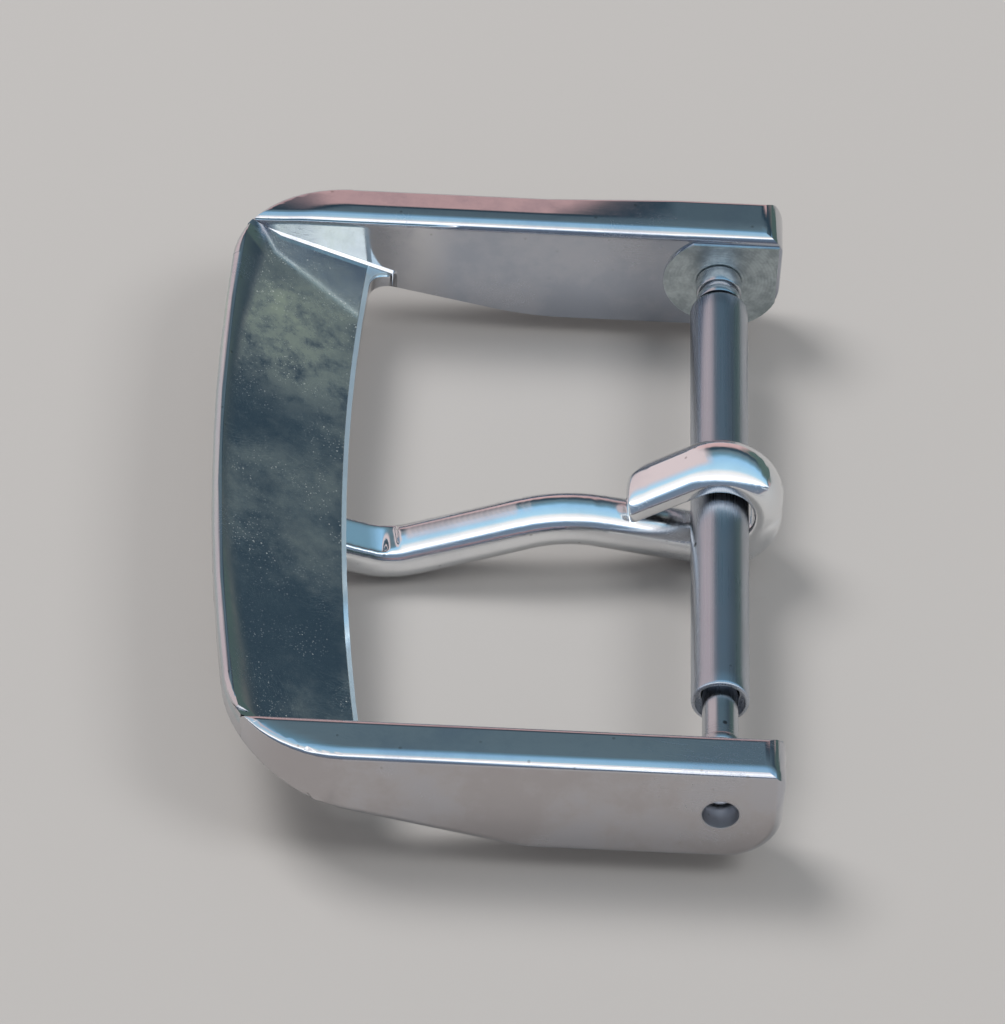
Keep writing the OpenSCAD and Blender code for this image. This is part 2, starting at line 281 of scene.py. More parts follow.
@dataclass(frozen=True)
class Scratches:
    """Sets of fine straight scratches, each in patches of its own."""

    amount: float = 0.6
    turns: tuple[Triple, ...] = ((0.0, 0.0, 8.0), (0.0, 20.0, 72.0), (65.0, 0.0, -38.0))
    stretch: Triple = (420.0, 9000.0, 9000.0)
    line: Band = (0.012, 0.002)
    patch_scale: float = 330.0
    patch_step: float = 90.0
    patch_band: Band = (0.62, 0.72)
    patch_gain: float = 0.2

    def over(self, place: Field) -> Field:
        """Spreads the scratches over a surface.

        Args:
            place: The place on the surface.

        Returns:
            1 in a scratch and 0 beside it.
        """
        low, high = self.patch_band
        band = (low - self.patch_gain * self.amount, high)
        found: Field | None = None
        for number, turn in enumerate(self.turns):
            along = place.turned(turn, self.stretch)
            line = abs(Noise(1.0, 1.0).over(along) - NOISE_MIDDLE).ease(self.line)
            patch = Noise(self.patch_scale + self.patch_step * number, 1.0, band=band)
            line = line * patch.over(place.turned(turn, (1.0, 1.0, 1.0)))
            found = line if found is None else found.most(line)
        return found


# Finishes


@dataclass(frozen=True)
class Finish:
    """What every metal finish of the buckle shares."""

    name: str
    tint: Triple
    gloss: float
    slot: str

    def colour(self, place: Field) -> Field:
        """Returns the colour over the surface."""
        raise NotImplementedError

    def roughness(self, place: Field) -> Field:
        """Returns the roughness over the surface."""
        raise NotImplementedError

    def relief(self, place: Field) -> tuple[Field, float]:
        """Returns the height over the surface, and its depth in metres."""
        raise NotImplementedError

    def metal(self, place: Field) -> Field | float:
        """Returns how far bare metal shows, less under a dull film."""
        return 1.0

    def material(self) -> bpy.types.Material:
        """Makes the material.

        Returns:
            The material, ready for a piece's slots.
        """
        made, bench = new_material(self.name)
        place = bench.place()
        height, depth = self.relief(place)
        bump = bench.add("ShaderNodeBump", None,
                         {"Height": height, "Distance": depth, "Strength": 1.0})
        shader = bench.add("ShaderNodeBsdfPrincipled", {"distribution": "MULTI_GGX"}, {
            "Base Color": self.colour(place),
            "Roughness": self.roughness(place),
            "Metallic": self.metal(place),
            "Normal": bump,
        })
        bench.add("ShaderNodeOutputMaterial", None, {"Surface": shader})
        return made


@dataclass(frozen=True)
class PolishedPlate(Finish):
    """Hand-polished bright plate over a casting or a bent wire.

    A mark's _colour, _gloss and _depth say how far it changes each of the three.
    """

    smudge_tint: Triple = (0.52, 0.53, 0.58)
    smudge: Noise = Noise(330.0, 6.0, 0.68, (0.42, 0.66))
    smudge_colour: float = 0.7
    smudge_gloss: float = 0.10
    speck_tint: Triple = (0.30, 0.28, 0.26)
    speck: Grains = Grains(1900.0, (0.11, 0.05))
    speck_colour: float = 0.5
    speck_depth: float = 0.10
    scratches: Scratches = Scratches()
    scratch_gloss: float = 0.16
    scratch_depth: float = 0.06
    mottle: Noise = Noise(2600.0, 3.0)
    mottle_gloss: float = 0.05
    ripple: Noise = Noise(420.0, 1.5)
    swell: Noise = Noise(150.0, 1.0)
    swell_depth: float = 7.0
    depth: float = 5.0e-6

    def colour(self, place: Field) -> Field:
        """Returns the colour, greyer in the smudges and dark in the specks."""
        plain = (self.smudge.over(place) * self.smudge_colour).mix(self.tint, self.smudge_tint)
        return (self.speck.over(place) * self.speck_colour).mix(plain, self.speck_tint)

    def roughness(self, place: Field) -> Field:
        """Returns the roughness, with smudges, scratches and a fine mottle."""
        return (self.gloss + self.mottle.over(place) * self.mottle_gloss
                + self.scratches.over(place) * self.scratch_gloss
                + self.smudge.over(place) * self.smudge_gloss)

    def relief(self, place: Field) -> tuple[Field, float]:
        """Returns the slight waves of hand polishing, cut by scratches and pits."""
        waves = self.ripple.over(place) + self.swell.over(place) * self.swell_depth
        return (waves - self.scratches.over(place) * self.scratch_depth
                - self.speck.over(place) * self.speck_depth), self.depth


@dataclass(frozen=True)
class CastFramePlate(PolishedPlate):
    """The frame's plate: bright arms, a filmed bar plate and two turned pads.

    Each Band says where a mask is 0 and where it is 1, in metres. The sheet is the bar
    plate's sloping face.
    """

    film_tint: Triple = (0.52, 0.58, 0.62)
    haze_tint: Triple = (0.50, 0.58, 0.46)
    dust_tint: Triple = (0.78, 0.80, 0.76)
    # Painted reflection: a sky-blue line along the bar plate's inner edge
    painted_edge_reflection_tint: Triple = (0.62, 0.80, 0.92)
    # Painted reflections: darker greys on the arms' inner and outer walls
    inner_wall_painted_reflection_tint: Triple = (0.42, 0.45, 0.51)
    outer_wall_painted_reflection_tint: Triple = (0.49, 0.465, 0.47)
    pad_tint: Triple = (0.42, 0.48, 0.50)
    pad_worn_tint: Triple = (0.64, 0.71, 0.72)

    # The sheet
    sheet_height: float = 1.20 * MM
    sheet_from: float = -12.35 * MM
    sheet_fall: float = 0.404
    sheet_off: Band = (0.16 * MM, 0.05 * MM)
    sheet_end: Band = (-7.9 * MM, -8.2 * MM)
    sheet_side: Band = (8.99 * MM, 8.96 * MM)

    # The arms' upright walls, inner and outer
    inner_from: Band = (8.985 * MM, 8.998 * MM)
    inner_to: Band = (9.06 * MM, 9.03 * MM)
    inner_start: Band = (-12.19 * MM, -12.15 * MM)
    outer_corner: Band = (3.06 * MM, 3.09 * MM)
    outer_corner_start: Band = (8.2 * MM, 10.2 * MM)
    outer_straight: Band = (10.37 * MM, 10.40 * MM)
    outer_turning: Band = (-9.60 * MM, -9.63 * MM)

    # The lean of the inner walls, their foot on the sheet, and the slope of the sheet's inner
    # edge, where a sky reflection is painted
    wall_lean: float = math.radians(5.0)
    wall_middle: float = 0.6 * MM
    leaning: Band = (-6.7 * MM, -7.9 * MM)
    foot_width: float = 0.13 * MM
    foot_end: Band = (-8.35 * MM, -8.5 * MM)
    inner_edge_width: float = 0.13 * MM
    inner_edge_slope: float = math.radians(26.0)
    inner_edge_from: Band = (0.0, 0.02 * MM)

    # The pads and the spring bar's holes
    pad_off: Band = (1.47 * MM, 1.44 * MM)
    pad_tail: Band = (0.4 * MM, 0.6 * MM)
    pad_face: Band = (8.97 * MM, 8.95 * MM)
    pad_cloud: Noise = Noise(2600.0, 5.0, 0.7, (0.36, 0.66))
    pad_gloss: float = 0.26
    ring_pitch: float = 0.085 * MM
    ring_wobble: Noise = Noise(1500.0, 2.0)
    ring_depth: float = 0.6
    bore: Band = (0.56 * MM, 0.50 * MM)
    bore_gloss: float = 0.30

    # The sheet's dull film and its dust
    haze_cloud: Noise = Noise(230.0, 6.0, 0.7, (0.44, 0.74))
    haze_share: float = 0.40
    haze_least: float = 0.06
    patch_at: Point = (-10.9 * MM, 5.2 * MM)
    patch_off: Band = (3.4 * MM, 0.2 * MM)
    patch_edge: Noise = Noise(300.0, 3.0)
    patch_fray: float = 3.2 * MM
    patch_cloud: Noise = Noise(1500.0, 4.0, 0.7, (0.25, 0.60))
    patch_share: float = 0.72
    dusty: Noise = Noise(700.0, 3.0, band=(0.40, 0.66))
    dust: Grains = Grains(4300.0, (0.13, 0.06))
    fine_dust: Grains = Grains(11000.0, (0.26, 0.12))
    fine_dust_share: float = 0.6
    dust_colour: float = 0.6
    haze_dulls: float = 0.42
    dust_dulls: float = 0.40
    # How far the metal is dulled on the inner edge, so that its painted sky reflection shows
    painted_reflection_dulls: float = 0.55
    film_grain: Noise = Noise(6500.0, 3.0, 0.6)
    film_gloss: float = 0.10
    sheet_calm: float = 0.55
    smudge_hides: float = 0.6

    def sheet_level(self, x: Field) -> Field:
        """Returns the height of the bar plate's face."""
        return self.sheet_height - (x - self.sheet_from) * self.sheet_fall

    def sheet(self, place: Field) -> Field:
        """Returns 1 on the bar plate's sloping face."""
        x, y, z = place.parts()
        return (abs(z - self.sheet_level(x)).ease(self.sheet_off)
                * x.ease(self.sheet_end) * abs(y).ease(self.sheet_side))

    def walls(self, place: Field) -> tuple[Field, Field]:
        """Marks the upright walls.

        Args:
            place: The place on the surface.

        Returns:
            1 on the arms' inner walls, and 1 on the outer walls.
        """
        x, y, _ = place.parts()
        out = abs(y)
        inner = out.ease(self.inner_from) * out.ease(self.inner_to) * x.ease(self.inner_start)
        turning = x.ease(self.outer_turning)
        reach = (x - CASTING.corner_centre[0]).reach(out - CASTING.corner_centre[1])
        corner = reach.ease(self.outer_corner) * turning * out.ease(self.outer_corner_start)
        return inner, out.ease(self.outer_straight) * (1.0 - turning) + corner

    def inner_edge_strip(self, place: Field) -> Field:
        """Measures how far a place lies out on the bar plate's inner edge.

        Args:
            place: The place on the surface.

        Returns:
            The distance in metres, 0 beside the edge.
        """
        x, y, _ = place.parts()
        limit = CASTING.window_radius + self.inner_edge_width
        strip = (limit - (x - CASTING.bow_centre).reach(y)).most(0.0)
        return strip.least(self.inner_edge_width) * self.sheet(place)

    def inner_edge(self, place: Field) -> Field:
        """Returns 1 on the bar plate's inner edge, where a sky reflection is painted."""
        return self.inner_edge_strip(place).ease(self.inner_edge_from)

    def lean(self, place: Field) -> Field:
        """Leans the walls at the corners, and slopes their foot and the bar plate's inner edge.

        Args:
            place: The place on the surface.

        Returns:
            The height in metres.
        """
        x, _, z = place.parts()
        rise = (z - self.wall_middle) * math.tan(self.wall_lean) * x.ease(self.leaning)
        foot = (self.foot_width - z + self.sheet_level(x)).most(0.0) * x.ease(self.foot_end)
        inner_edge = self.inner_edge_strip(place) * math.tan(self.inner_edge_slope)
        return (rise + foot) * self.walls(place)[0] - inner_edge

    def from_axis(self, place: Field) -> Field:
        """Returns the distance from the spring bar's axis, in metres."""
        x, _, z = place.parts()
        return x.reach(z)

    def pads(self, place: Field) -> Field:
        """Returns 1 on the bare rings round the spring bar's holes."""
        x, y, _ = place.parts()
        return (self.from_axis(place).ease(self.pad_off).most(x.ease(self.pad_tail))
                * abs(y).ease(self.pad_face))

    def haze(self, place: Field) -> Field:
        """Makes the dull film, cloudy and thickest in one patch.

        Args:
            place: The place on the surface.

        Returns:
            How thick it lies, from 0 to 1.
        """
        x, y, _ = place.parts()
        away = (x - self.patch_at[0]).reach(y - self.patch_at[1])
        fray = (self.patch_edge.over(place) - NOISE_MIDDLE) * self.patch_fray
        patch = (away + fray).ease(self.patch_off) * self.patch_cloud.over(place)
        cloud = self.haze_cloud.over(place) * self.haze_share + self.haze_least
        return (cloud + patch * self.patch_share).least(1.0)

    def grit(self, place: Field) -> Field:
        """Returns 1 in the pale specks of dust on the bar plate."""
        specks = self.dust.over(place) + self.fine_dust.over(place) * self.fine_dust_share
        return specks * self.dusty.over(place)

    def metal(self, place: Field) -> Field | float:
        """Returns how far bare metal shows: less under film and dust, and on the inner edge
        under its painted sky reflection.
        """
        dull = self.haze(place) * self.haze_dulls + self.grit(place) * self.dust_dulls
        return 1.0 - self.sheet(place) * dull.most(self.inner_edge(place) * self.painted_reflection_dulls)

    def colour(self, place: Field) -> Field:
        """Lays the film, the dust, painted reflections on the walls and on the bar plate's inner
        edge, and the pads over the bright plate.

        Args:
            place: The place on the surface.

        Returns:
            The colour.
        """
        film = self.haze(place).mix(self.film_tint, self.haze_tint)
        film = (self.grit(place) * self.dust_colour).mix(film, self.dust_tint)
        inner, outer = self.walls(place)
        straight = 1.0 - place.parts()[0].ease(self.leaning)
        clean = 1.0 - self.smudge.over(place) * self.smudge_hides
        # Painted reflections: the walls made darker, less so under smudges, and the inner walls
        # only where they stand straight
        dressed = (inner * straight * clean).mix(super().colour(place), self.inner_wall_painted_reflection_tint)
        dressed = (outer * clean).mix(dressed, self.outer_wall_painted_reflection_tint)
        dressed = self.sheet(place).mix(dressed, film)
        # Painted sky reflection along the bar plate's inner edge
        dressed = self.inner_edge(place).mix(dressed, self.painted_edge_reflection_tint)
        worn = self.pad_cloud.over(place).mix(self.pad_tint, self.pad_worn_tint)
        return self.pads(place).mix(dressed, worn)

    def roughness(self, place: Field) -> Field:
        """Returns the roughness, higher on the film, on the pads and in the holes."""
        sheet = self.sheet(place)
        return (super().roughness(place) * (1.0 - sheet * self.sheet_calm)
                + sheet * self.film_grain.over(place) * self.film_gloss
                + self.pads(place) * self.pad_gloss
                + self.from_axis(place).ease(self.bore) * self.bore_gloss)

    def relief(self, place: Field) -> tuple[Field, float]:
        """Adds the pads' turned rings and the walls' lean to the plate's waves.

        Args:
            place: The place on the surface.

        Returns:
            The height, and its depth in metres.
        """
        plain, depth = super().relief(place)
        rings = (self.from_axis(place) * (2.0 * math.pi / self.ring_pitch)).wave()
        rings = rings * self.pads(place) * self.ring_wobble.over(place) * self.ring_depth
        return plain + rings + self.lean(place) * (1.0 / depth), depth


@dataclass(frozen=True)
class SatinSteel(Finish):
    """Bare stainless steel with the fine lines of turning or drawing."""

    marks: Relief = Relief.RINGS
    pitch: float = 0.05 * MM
    line: Noise = Noise(1.0, 2.0, 0.6)
    line_gloss: float = 0.16
    stain_tint: Triple = (0.42, 0.42, 0.44)
    stain: Noise = Noise(420.0, 3.0, band=(0.45, 0.75))
    stain_colour: float = 0.5
    stain_gloss: float = 0.06
    speck_tint: Triple = (0.05, 0.05, 0.055)
    speck: Grains = Grains(900.0, (0.075, 0.04))
    speck_colour: float = 0.85
    speck_depth: float = 0.8
    # Painted highlight: the ends beyond end_from are made pale
    end_painted_highlight_tint: Triple = (0.90, 0.92, 0.95)
    end_from: Band = (9.6 * MM, 9.63 * MM)
    depth: float = 1.2e-6

    def lines(self, place: Field) -> Field:
        """Draws noise out the way of the tool.

        Args:
            place: The place on the surface.

        Returns:
            The fine lines, between 0 and 1.
        """
        drawn, fine = self.marks.value, 1.0 / self.pitch
        scale = (drawn, fine, drawn) if self.marks is Relief.RINGS else (fine, drawn, fine)
        return self.line.over(place.turned((0.0, 0.0, 0.0), scale))

    def colour(self, place: Field) -> Field:
        """Lays faint stains, a painted highlight on the ends and dark specks over the steel.

        Args:
            place: The place on the surface.

        Returns:
            The colour.
        """
        plain = (self.stain.over(place) * self.stain_colour).mix(self.tint, self.stain_tint)
        # Painted highlight on the ends
        plain = abs(place.parts()[1]).ease(self.end_from).mix(plain, self.end_painted_highlight_tint)
        return (self.speck.over(place) * self.speck_colour).mix(plain, self.speck_tint)

    def roughness(self, place: Field) -> Field:
        """Returns the roughness, which follows the lines."""
        lined = self.gloss + self.lines(place) * self.line_gloss
        return lined + self.stain.over(place) * self.stain_gloss

    def relief(self, place: Field) -> tuple[Field, float]:
        """Returns the height of the lines, with the specks as pits."""
        return self.lines(place) - self.speck.over(place) * self.speck_depth, self.depth


# Shapes


@dataclass(frozen=True)
class Rounding:
    """How edges are rounded: width in metres, segments, and least angle in degrees."""

    size: float
    steps: int
    sharp: float
    profile: float = 0.5


def smooth_step(share: float) -> float:
    """Returns a share from 0 to 1 that starts and ends gently."""
    return share * share * (3.0 - 2.0 * share)


def middle_of(edge: bmesh.types.BMEdge) -> Vector:
    """Returns the middle of an edge."""
    return (edge.verts[0].co + edge.verts[1].co) / 2


@dataclass
class Shape:
    """A mesh under work, kept in metres and in the frame's own place."""

    name: str
    bm: bmesh.types.BMesh = field(default_factory=bmesh.new)
    weld: float = 1e-7
    flat_weight: int = 100

    @classmethod
    def from_node(cls, name: str, node: str) -> "Shape":
        """Starts from a merged copy of a CAD node.

        Args:
            name: The new piece's name.
            node: The CAD node's name.

        Returns:
            The copy.
        """
        made = cls(name)
        made.bm.from_mesh(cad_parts[node].data)
        bmesh.ops.remove_doubles(made.bm, verts=made.bm.verts, dist=cls.weld)
        bmesh.ops.dissolve_degenerate(made.bm, edges=made.bm.edges, dist=cls.weld)
        return made

    def whole_flats(self, degrees: float) -> None:
        """Joins the triangles of each flat face.

        Args:
            degrees: The most that neighbours may differ.
        """
        bmesh.ops.dissolve_limit(
            self.bm, angle_limit=math.radians(degrees), verts=self.bm.verts,
            edges=self.bm.edges, use_dissolve_boundaries=False)

    def break_edges(self, rounding: Rounding,
                    chosen: Callable[[bmesh.types.BMEdge], bool]) -> int:
        """Rounds the sharp edges that are chosen.

        Args:
            rounding: How they are rounded.
            chosen: Says if an edge is one of those meant.

        Returns:
            How many edges were rounded.
        """
        edges = [e for e in self.bm.edges if len(e.link_faces) == 2
                 and e.calc_face_angle(0.0) > math.radians(rounding.sharp) and chosen(e)]
        if edges:
            bmesh.ops.bevel(self.bm, geom=edges, offset=rounding.size, offset_type="OFFSET",
                            segments=rounding.steps, profile=rounding.profile,
                            affect="EDGES", material=-1, clamp_overlap=True, loop_slide=True)
        return len(edges)

    def finish(self, body: str, replaced: str, finish: Finish, sharp: float) -> bpy.types.Object:
        """Makes the object, smooth between its sharp edges, and puts it on its body.

        Args:
            body: The CAD body that it rides on.
            replaced: The CAD node that it stands for.
            finish: Its finish.
            sharp: Least angle of an edge that stays sharp, in degrees.

        Returns:
            The object.
        """
        bmesh.ops.recalc_face_normals(self.bm, faces=self.bm.faces)
        for face in self.bm.faces:
            face.smooth = True
        for edge in self.bm.edges:
            edge.smooth = edge.calc_face_angle(0.0) < math.radians(sharp)
        open_edges = sum(1 for e in self.bm.edges if len(e.link_faces) != 2)
        mesh = bpy.data.meshes.new(self.name)
        self.bm.to_mesh(mesh)
        self.bm.free()
        made = hang(self.name, mesh)
        mesh.materials.append(finish.material())
        even = made.modifiers.new("even_flats", "WEIGHTED_NORMAL")
        even.keep_sharp, even.weight = True, self.flat_weight
        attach(made, body)
        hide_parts(replaced)
        LOG.info("%s: %d faces, %d open edges", self.name, len(mesh.polygons), open_edges)
        return made


@dataclass
class TurnedShape:
    """Half an outline, in millimetres, that is spun about the spring bar's axis."""

    name: str
    outline: list[Point]
    closed: bool = False
    steps: int = 96
    weld: float = 1e-8

    def build(self, along: float, facing: Side) -> Shape:
        """Spins the outline.

        Args:
            along: Where the outline's origin lies along the spring bar, in metres.
            facing: Which way the outline's own Y looks.

        Returns:
            The spun shape.
        """
        shape = Shape(self.name)
        points = [shape.bm.verts.new((r * MM, along + facing.value * y * MM, 0.0))
                  for r, y in self.outline]
        pairs = list(zip(points, points[1:]))
        if self.closed:
            pairs.append((points[-1], points[0]))
        edges = [shape.bm.edges.new(pair) for pair in pairs]
        bmesh.ops.spin(shape.bm, geom=points + edges, cent=(0.0, 0.0, 0.0), axis=ALONG_Y,
                       angle=2.0 * math.pi, steps=self.steps, use_merge=True)
        bmesh.ops.remove_doubles(shape.bm, verts=shape.bm.verts, dist=self.weld)
        return shape


# Sub-assemblies


@dataclass(frozen=True)
class Crown:
    """The outer part of an arm's top, which slopes down: width in metres, slope in degrees.

    end_share is how much of the slope is left at the arm's end.
    """

    width: float
    slope: float
    end_share: float


@dataclass
class BuckleFrame:
    """The one casting: bar plate, two arms and the pads round the bar's holes.

    Lengths are in metres and angles in degrees.
    """

    flat_within: float = 0.4
    sharp: float = 45.0
    plate_edge: Rounding = Rounding(0.17 * MM, 6, 20.0)
    corner: Rounding = Rounding(0.38 * MM, 8, 40.0)
    hole: Rounding = Rounding(0.05 * MM, 4, 50.0)
    other: Rounding = Rounding(0.05 * MM, 4, 24.0)

    # Where the edges lie that are rounded, and how their faces look
    hole_radius: float = 0.475 * MM
    hole_within: float = 0.02 * MM
    corner_end: float = -8.2 * MM
    corner_below: float = 1.0 * MM
    outside: Point = (-11.2 * MM, 9.3 * MM)
    plate_edge_start: float = -9.8 * MM
    plate_slope: float = 22.0
    plate_cosine: float = 0.999
    upright: float = 0.1
    downward: float = -0.7
    forward: float = 0.3
    upward: Band = (0.5, 0.9)

    # The small steps between the rim's crest and the arms
    step_along: Band = (-12.37 * MM, -11.93 * MM)
    step_across: Band = (8.74 * MM, 9.005 * MM)
    step_height: float = 1.25 * MM
    step_within: float = 0.01 * MM
    step_floor: float = 0.002 * MM
    step_foot: float = -11.985 * MM
    step_top: float = 1.455 * MM
    flank_slope: float = 40.0

    # The crowns, and the grid that is cut for them
    crowns: dict[Side, Crown] = field(default_factory=lambda: {
        Side.NEAR: Crown(0.34 * MM, 15.0, 1.0), Side.FAR: Crown(0.92 * MM, 12.5, 0.08)})
    crown_fades: Band = (-4.6 * MM, -1.2 * MM)
    crown_ease: float = 0.12 * MM
    ease_cuts: Triple = (0.0, 0.5, 1.0)
    crown_above: float = 1.2 * MM
    corner_turn: float = 1.45
    arm_from: float = 8.0 * MM
    rim_from: float = 8.9 * MM
    cut_above: float = 0.9 * MM
    cut_within: float = 1e-8
    grid: float = 0.16 * MM
    grid_across: range = range(11, 19)
    grid_along: range = range(1, 18)
    fade_grid: float = 0.38 * MM
    fade_rows: int = 10

    plate: CastFramePlate = CastFramePlate(
        name="bright_plate_frame", tint=(0.64, 0.64, 0.66), gloss=0.07, slot="plated_frame")

    def is_hole_edge(self, edge: bmesh.types.BMEdge) -> bool:
        """Tells the rim of a spring bar hole from other edges."""
        return all(abs(math.hypot(v.co.x, v.co.z) - self.hole_radius) < self.hole_within
                   for v in edge.verts)

    def is_corner_underside(self, edge: bmesh.types.BMEdge) -> bool:
        """Tells the outer lower edge of the corners and the bar plate from others."""
        middle, slopes = middle_of(edge), [face.normal.z for face in edge.link_faces]
        return (middle.x < self.corner_end and middle.z < self.corner_below
                and (middle.x < self.outside[0] or abs(middle.y) > self.outside[1])
                and min(map(abs, slopes)) < self.upright and min(slopes) < self.downward)

    def looks(self, edge: bmesh.types.BMEdge,
              first: Callable[[Vector], bool], second: Callable[[Vector], bool]) -> bool:
        """Tells if one of an edge's faces looks the first way and the other the second."""
        one, two = (face.normal for face in edge.link_faces)
        return (first(one) and second(two)) or (first(two) and second(one))

    def is_plate(self, normal: Vector) -> bool:
        """Tells the bar plate's sloping face."""
        slope = math.radians(self.plate_slope)
        return normal.dot((math.sin(slope), 0.0, math.cos(slope))) > self.plate_cosine

    def is_window(self, normal: Vector) -> bool:
        """Tells the window's upright wall on the bar plate."""
        return abs(normal.z) < self.upright and normal.x > self.forward

    def is_flank(self, normal: Vector) -> bool:
        """Tells the rim's flank."""
        return self.upward[0] < normal.z < self.upward[1] and normal.x > self.forward

    def is_plate_edge(self, edge: bmesh.types.BMEdge) -> bool:
        """Tells the bar plate's inner edge."""
        return (middle_of(edge).x > self.plate_edge_start
                and self.looks(edge, self.is_plate, self.is_window))

    def is_flank_edge(self, edge: bmesh.types.BMEdge) -> bool:
        """Tells the edges of the rim's flank, which stay as soft as they are."""
        return self.looks(edge, self.is_flank, lambda n: n.z > self.upward[0])

    def is_at_step(self, place: Vector) -> bool:
        """Tells the small steps between the rim's crest and the arms."""
        return (self.step_along[0] < place.x < self.step_along[1]
                and self.step_across[0] < abs(place.y) < self.step_across[1]
                and place.z > self.step_height - self.step_within)

    def is_other(self, edge: bmesh.types.BMEdge) -> bool:
        """Tells the edges that are only broken, apart from the steps."""
        return not (self.is_hole_edge(edge) or self.is_flank_edge(edge)
                    or all(self.is_at_step(v.co) for v in edge.verts))

    def fill_steps(self, shape: Shape) -> None:
        """Raises the floor of each step to the slope of the rim's flank.

        Args:
            shape: The frame's shape.
        """
        for vert in shape.bm.verts:
            place = vert.co
            if self.is_at_step(place) and abs(place.z - self.step_height) < self.step_floor:
                run = max(self.step_foot - place.x, 0.0)
                rise = run * math.tan(math.radians(self.flank_slope))
                place.z = min(self.step_height + rise, self.step_top)

    def cut_top(self, shape: Shape, at: float, across: Vector,
                where: Callable[[Vector], bool]) -> None:
        """Cuts some of the frame's top faces along an upright plane.

        Args:
            shape: The frame's shape.
            at: How far the plane lies along its normal.
            across: The plane's normal.
            where: Says if a face is cut, by its middle.
        """
        upper = {v for v in shape.bm.verts if v.co.z > self.cut_above}
        faces = [f for f in shape.bm.faces
                 if all(v in upper for v in f.verts) and where(f.calc_center_median())]
        edges = {e for f in faces for e in f.edges}
        verts = {v for f in faces for v in f.verts}
        bmesh.ops.bisect_plane(shape.bm, geom=[*verts, *edges, *faces],
                               dist=self.cut_within, plane_co=across * at, plane_no=across)

    def cut_crowns(self, shape: Shape) -> None:
        """Cuts the grid that the crowns bend.

        Args:
            shape: The frame's shape.
        """
        start, centre = CASTING.corner_centre
        self.cut_top(shape, start, ALONG_X, lambda c: abs(c.y) > self.arm_from)
        for side in Side:
            edge = CASTING.half_width - self.crowns[side].width
            for share in self.ease_cuts:
                self.cut_top(shape, side.value * (edge + share * self.crown_ease), ALONG_Y,
                             lambda c: side.value * c.y > self.arm_from)
            for row in self.grid_across:
                self.cut_top(shape, side.value * (centre + row * self.grid), ALONG_Y,
                             lambda c: side.value * c.y > self.arm_from and c.x < start)
        for row in self.grid_along:
            self.cut_top(shape, start - row * self.grid, ALONG_X,
                         lambda c: abs(c.y) > self.rim_from and c.x < start)
        for row in range(self.fade_rows):
            self.cut_top(shape, self.crown_fades[0] + row * self.fade_grid, ALONG_X,
                         lambda c: c.y > self.rim_from)

    def outline_depth(self, place: Vector) -> tuple[float, float]:
        """Measures how far a point lies inside the frame's outer outline.

        Args:
            place: The point.

        Returns:
            The depth in metres, and 0 along an arm to 1 along the bar plate.
        """
        out = abs(place.y)
        dx, dy = CASTING.corner_centre[0] - place.x, out - CASTING.corner_centre[1]
        if dx <= 0.0:
            return CASTING.half_width - out, 0.0
        if dy <= 0.0:
            reach = math.hypot(place.x - CASTING.bow_centre, place.y)
            return CASTING.bow_radius - reach, 1.0
        turn = math.atan2(dx, dy) / self.corner_turn
        return CASTING.corner_radius - math.hypot(dx, dy), min(turn, 1.0)

    def crown_drop(self, place: Vector) -> float:
        """Measures how far polishing lowered a point of the frame's top.

        Args:
            place: The point.

        Returns:
            The drop in metres.
        """
        crown = self.crowns[Side.FAR if place.y > 0.0 else Side.NEAR]
        depth, turn = self.outline_depth(place)
        beyond = crown.width - depth
        if beyond <= 0.0:
            return 0.0
        first, last = self.crown_fades
        end = min(max((place.x - first) / (last - first), 0.0), 1.0)
        slope = crown.slope * (1.0 - smooth_step(turn)) * (1.0 - end * (1.0 - crown.end_share))
        ease = self.crown_ease
        run = beyond * beyond / (2.0 * ease) if beyond < ease else beyond - ease / 2.0
        return run * math.tan(math.radians(slope))

    def crown(self, shape: Shape) -> None:
        """Slopes the outer part of the frame's top, as polishing leaves it.

        Args:
            shape: The frame's shape.
        """
        self.cut_crowns(shape)
        for vert in shape.bm.verts:
            if vert.co.z >= self.crown_above and abs(vert.co.y) >= self.arm_from:
                vert.co.z -= self.crown_drop(vert.co)

    def build(self) -> bpy.types.Object:
        """Makes the frame.

        Returns:
            The dressed piece.
        """
        shape = Shape.from_node("frame_casting", "buckle_frame")
        shape.whole_flats(self.flat_within)
        self.fill_steps(shape)
        rounded = {
            "plate edge": shape.break_edges(self.plate_edge, self.is_plate_edge),
            "corner": shape.break_edges(self.corner, self.is_corner_underside),
            "hole": shape.break_edges(self.hole, self.is_hole_edge),
            "other": shape.break_edges(self.other, self.is_other),
        }
        LOG.info("frame edges rounded: %s", rounded)
        self.crown(shape)
        return shape.finish("frame", "buckle_frame", self.plate, self.sharp)


